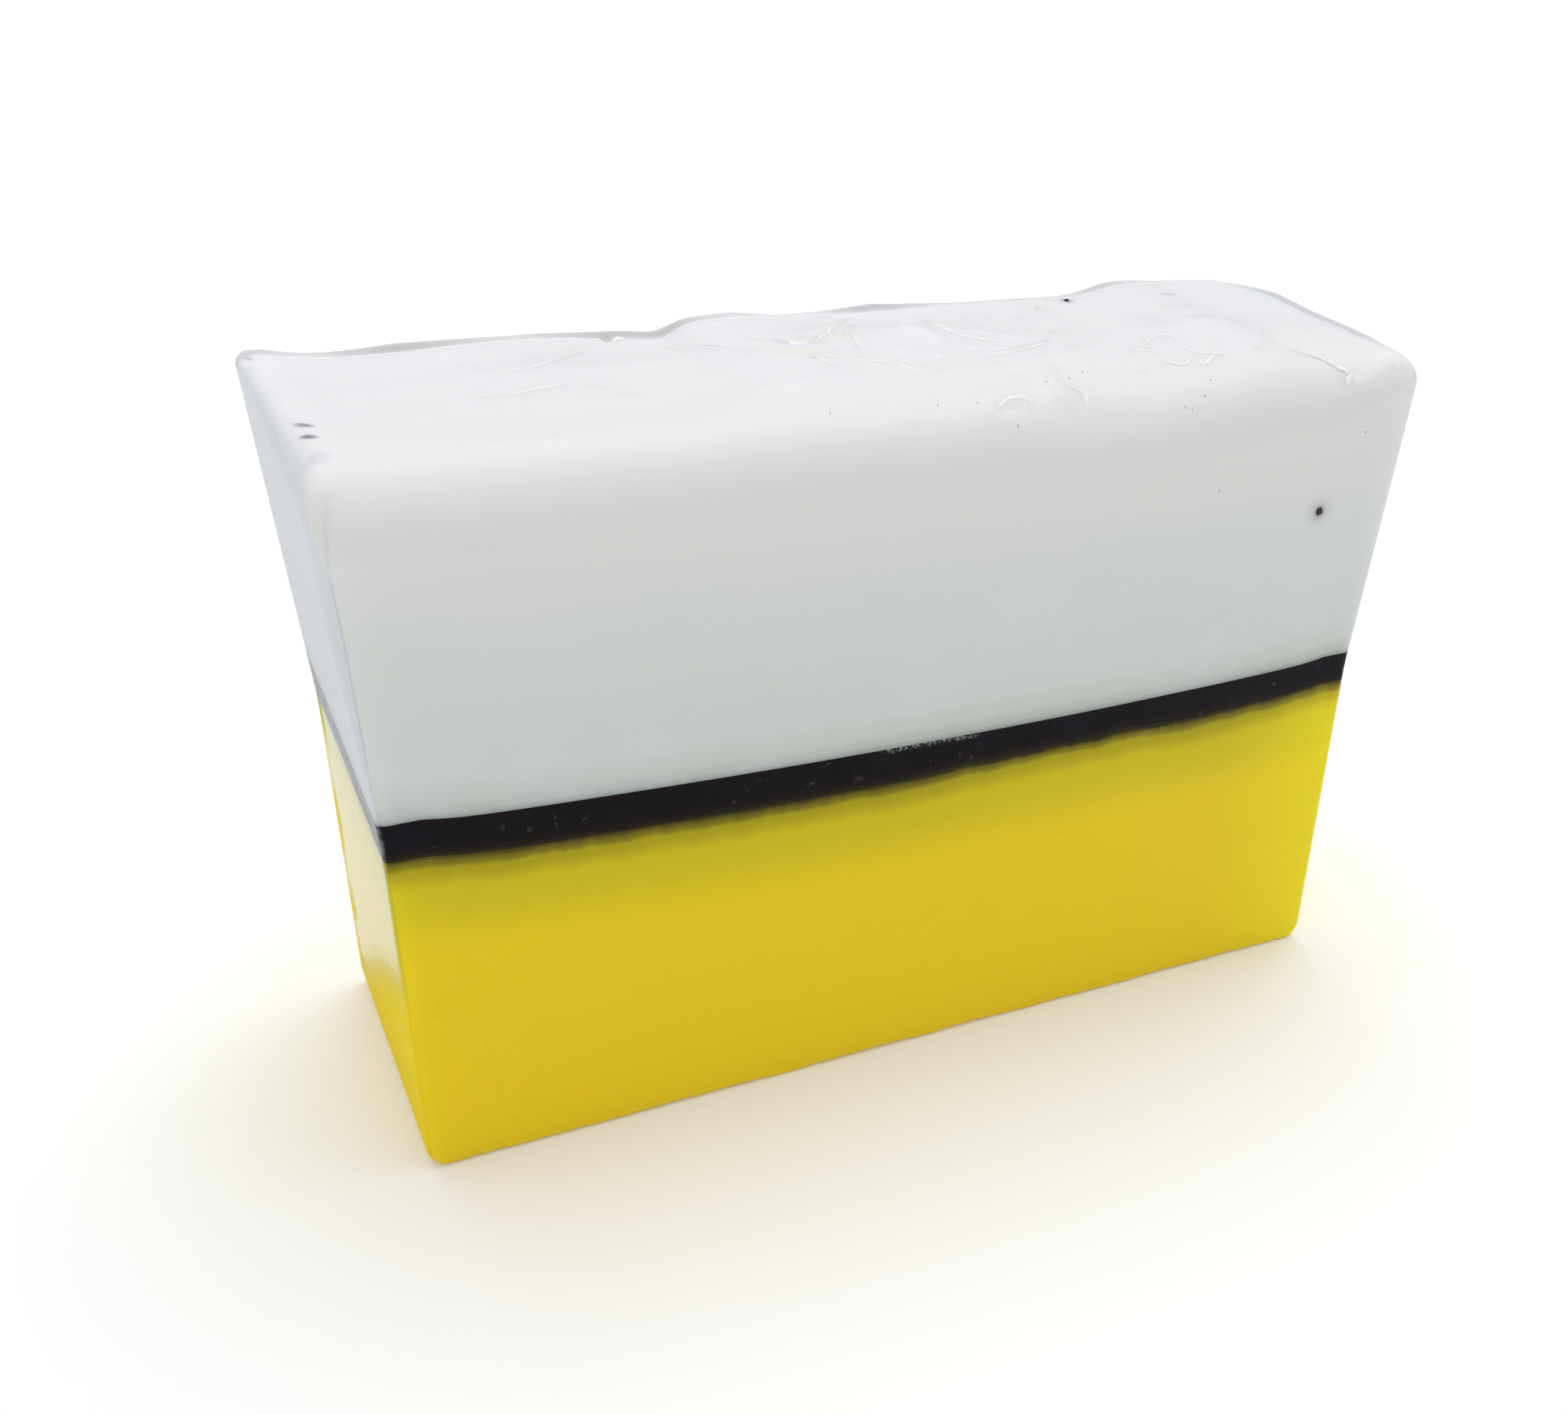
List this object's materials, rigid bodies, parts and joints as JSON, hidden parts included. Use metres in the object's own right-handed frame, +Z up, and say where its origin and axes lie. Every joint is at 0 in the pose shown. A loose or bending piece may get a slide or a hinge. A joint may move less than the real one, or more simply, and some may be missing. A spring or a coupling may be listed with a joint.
{
  "type": "layered soap bar",
  "caption": "Upright slice of poured layered soap: translucent yellow base, thin black band and thick white layer with a rough hand-spread top and black crumbs in it.",
  "frame": {"origin": "centre of the face that the bar stands on, at the middle of the whole bar's box", "axes": "+X along the width towards the right end, +Y from the front cut face to the back cut face, +Z up towards the poured top"},
  "size_m": [0.0817, 0.025, 0.0524],
  "materials": {
    "yellow_soap": "translucent soap, satin on the cuts and glossy on the cast ends",
    "black_soap": "opaque black soap with a faint purple tone, satin",
    "white_soap": "opaque white soap, soft satin, hand-spread on top",
    "black_crumb": "dull black soap crumb"
  },
  "bodies": {
    "root": {"yellow_base_layer": "yellow_soap", "black_middle_layer": "black_soap", "white_top_layer": "white_soap", "black_soap_crumbs": "black_crumb"}
  },
  "joints": []
}
